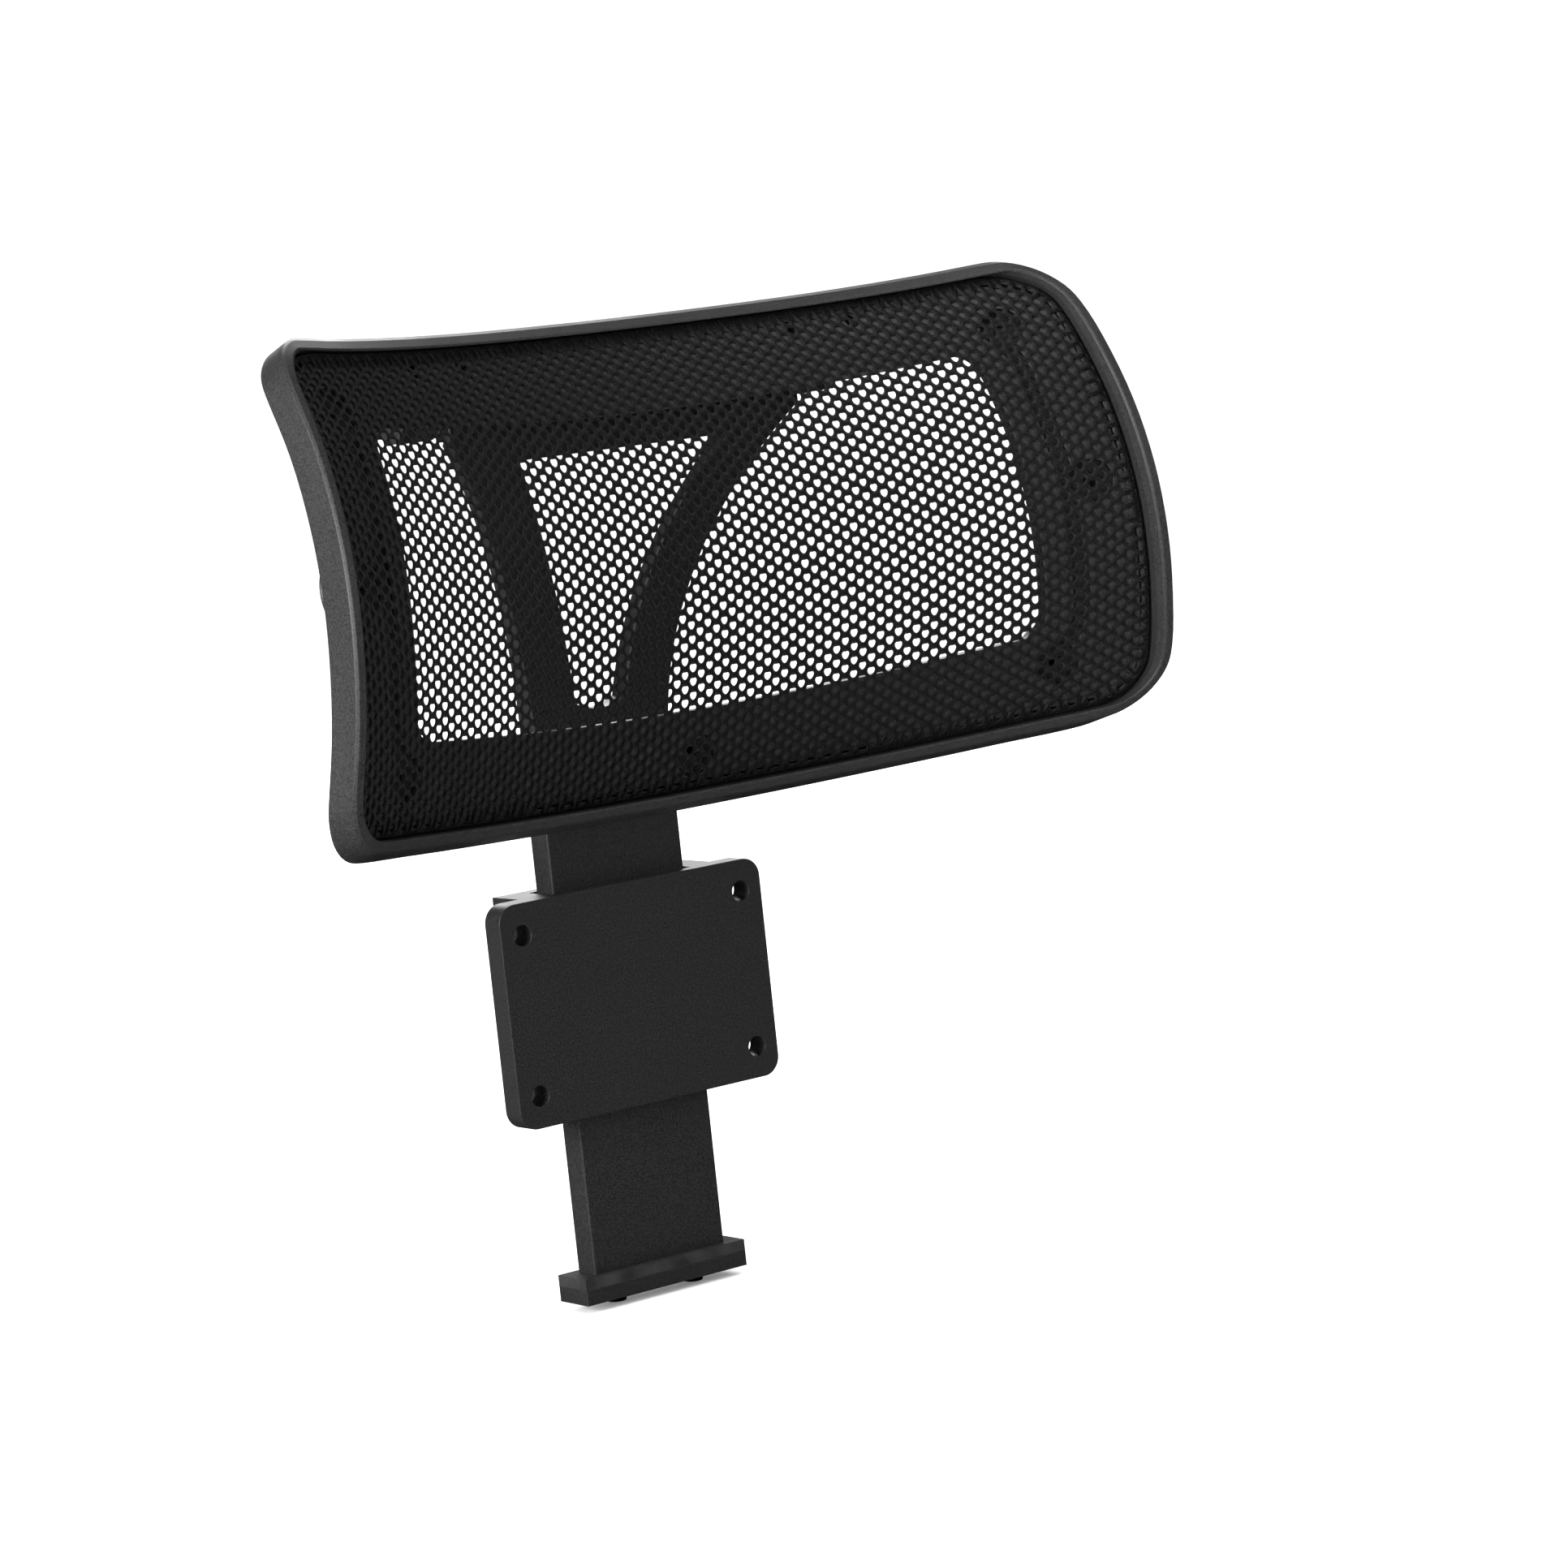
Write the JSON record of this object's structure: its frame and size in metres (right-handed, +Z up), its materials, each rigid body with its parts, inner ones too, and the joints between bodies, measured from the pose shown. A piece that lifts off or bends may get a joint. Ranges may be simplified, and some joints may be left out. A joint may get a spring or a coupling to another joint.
{
  "type": "chair headrest attachment",
  "caption": "Saddle-shaped mesh headrest that tilts on a V-shaped yoke, whose notched stem slides in a bolt-on sleeve.",
  "frame": {"origin": "centre of the four mounting holes, on the sleeve's mounting face", "axes": "+X across, -Y towards the sitter and out of the mounting face, +Z up along the stem"},
  "size_m": [0.3074, 0.1227, 0.3099],
  "materials": {
    "frame_plastic": "fine-grained satin grey nylon",
    "carrier_plastic": "matt black nylon",
    "mesh_cloth": "open-weave polyester mesh",
    "strip_plastic": "matt",
    "yoke_plastic": "fine-grained black glass-filled nylon",
    "screw_steel": "blackened zinc",
    "pin_steel": "ground",
    "bush_plastic": "natural acetal",
    "washer_plastic": "fibre friction lining",
    "cap_plastic": "matt",
    "stop_plastic": "matt",
    "bumper_rubber": "soft",
    "sleeve_plastic": "fine-grained black nylon",
    "liner_plastic": "natural acetal",
    "spring_steel": "spring temper"
  },
  "bodies": {
    "sleeve": {"sleeve_front": "sleeve_plastic", "sleeve_rear": "sleeve_plastic", "sleeve_screws": "screw_steel", "glide_liner_left": "liner_plastic", "glide_liner_right": "liner_plastic", "detent_spring": "spring_steel", "detent_spring_screws": "screw_steel"},
    "yoke": {"yoke": "yoke_plastic", "stem_stop": "stop_plastic", "stop_bumper": "bumper_rubber", "stem_stop_screws": "screw_steel", "hinge_bush_left": "bush_plastic", "hinge_bush_right": "bush_plastic"},
    "headrest": {"frame_ring": "frame_plastic", "mesh_carrier": "carrier_plastic", "mesh_panel": "mesh_cloth", "mesh_retaining_strip": "strip_plastic", "carrier_screws": "screw_steel", "hinge_bracket_left": "frame_plastic", "hinge_bracket_right": "frame_plastic", "hinge_bracket_screws": "screw_steel", "hinge_pin": "pin_steel", "hinge_clips": "spring_steel", "hinge_cap_left": "cap_plastic", "hinge_cap_right": "cap_plastic", "friction_washer_left": "washer_plastic", "friction_washer_right": "washer_plastic"}
  },
  "joints": [
    {"name": "height_slide", "type": "slide", "parent": "sleeve", "child": "yoke", "axis": [0, 0, 1], "range_m": [0, 0.05], "deforming": ["detent_spring"]},
    {"name": "headrest_tilt", "type": "hinge", "parent": "yoke", "child": "headrest", "pos_m": [0, -0.018, 0.187], "axis": [-1, 0, 0], "range_deg": [-12, 25]}
  ]
}
